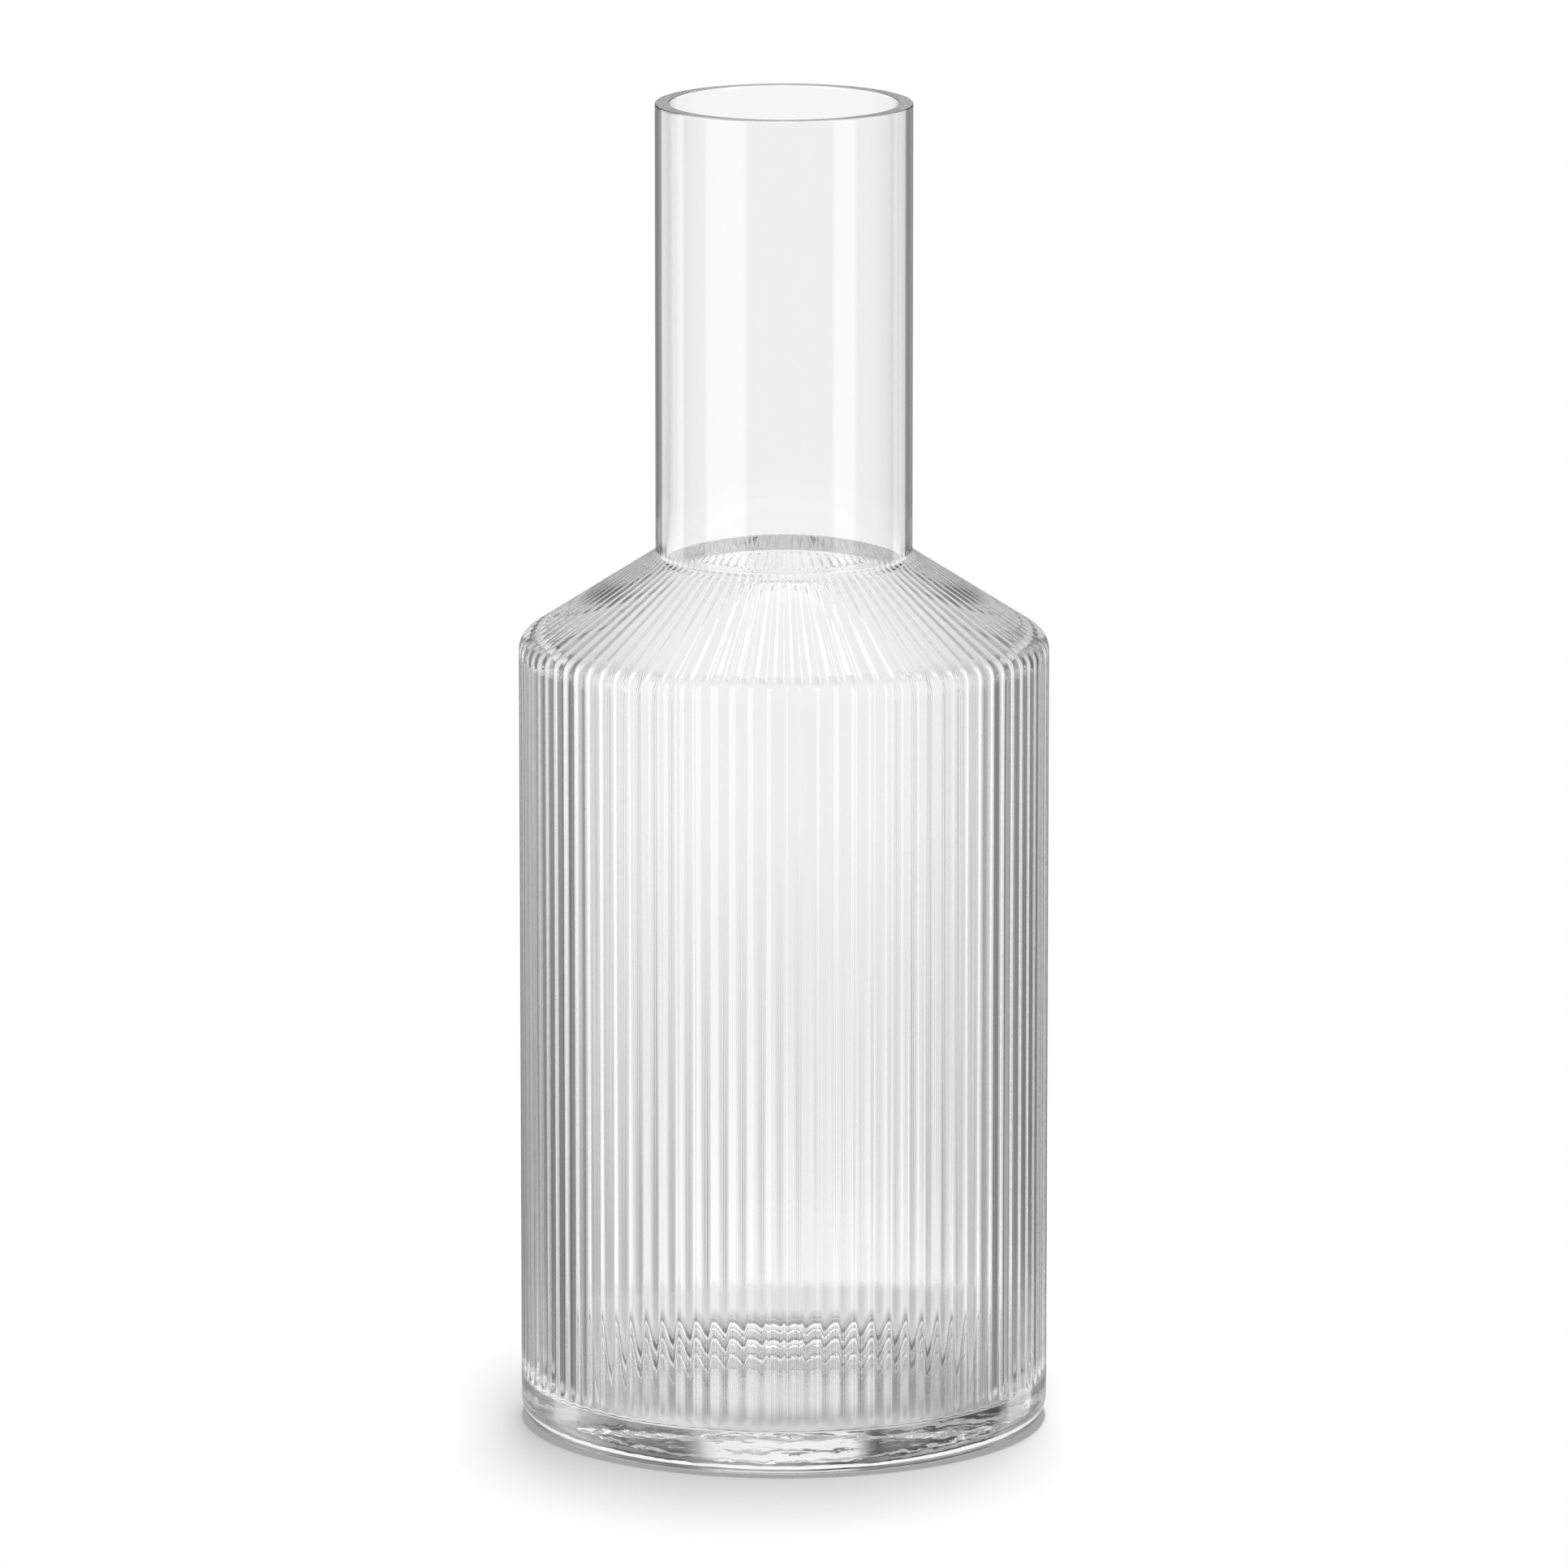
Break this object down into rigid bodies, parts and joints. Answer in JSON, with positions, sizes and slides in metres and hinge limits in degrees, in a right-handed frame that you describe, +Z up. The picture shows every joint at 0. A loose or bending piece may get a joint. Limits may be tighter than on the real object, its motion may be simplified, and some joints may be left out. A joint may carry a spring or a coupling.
{
  "type": "water carafe",
  "caption": "Clear glass water carafe: upright ribbed body, ribbed cone shoulder and a plain straight neck with an open mouth; it stands on a ring under its foot.",
  "frame": {"origin": "on the table, under the middle of the foot", "axes": "+Z up the axis of the carafe to the rim; X and Y are alike, and a rib crest lies on +X"},
  "size_m": [0.093, 0.093, 0.235],
  "materials": {
    "glass": "clear soda-lime glass, mould blown, polished rim"
  },
  "bodies": {
    "root": {"base": "glass", "ribbed_wall": "glass", "shoulder": "glass", "neck": "glass"}
  },
  "joints": []
}
